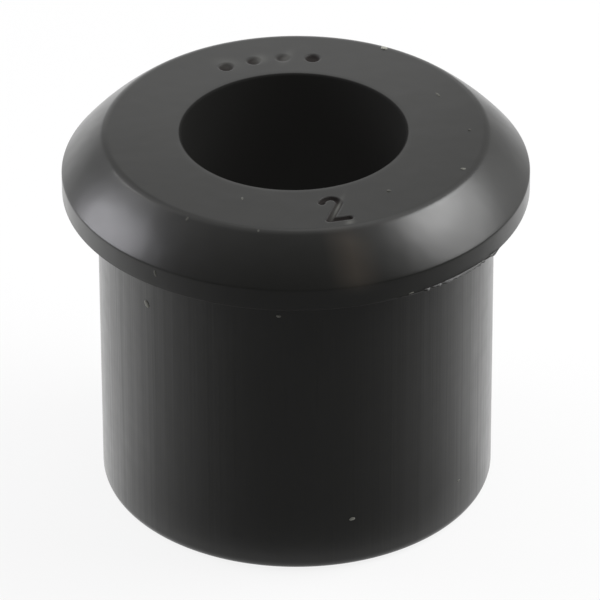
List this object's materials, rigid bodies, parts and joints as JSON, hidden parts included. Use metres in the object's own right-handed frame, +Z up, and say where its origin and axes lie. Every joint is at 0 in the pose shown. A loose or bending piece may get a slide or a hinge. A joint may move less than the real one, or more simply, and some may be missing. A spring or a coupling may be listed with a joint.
{
  "type": "strain relief bushing",
  "caption": "Flanged rubber sleeve with a rounded sloping shoulder and a straight bore that grips a cable where it enters a gland or panel.",
  "frame": {"origin": "middle of the bore at the foot, the plane that the bushing stands on", "axes": "+Z up the bore towards the flange's top face; the part is round, so +X and +Y only fix the frame, with the moulded number facing -Y"},
  "size_m": [0.0206, 0.0206, 0.0174],
  "materials": {
    "rubber": "moulded black rubber, dull satin with faint draw marks up the barrel"
  },
  "bodies": {
    "root": {"bushing": "rubber"}
  },
  "joints": []
}
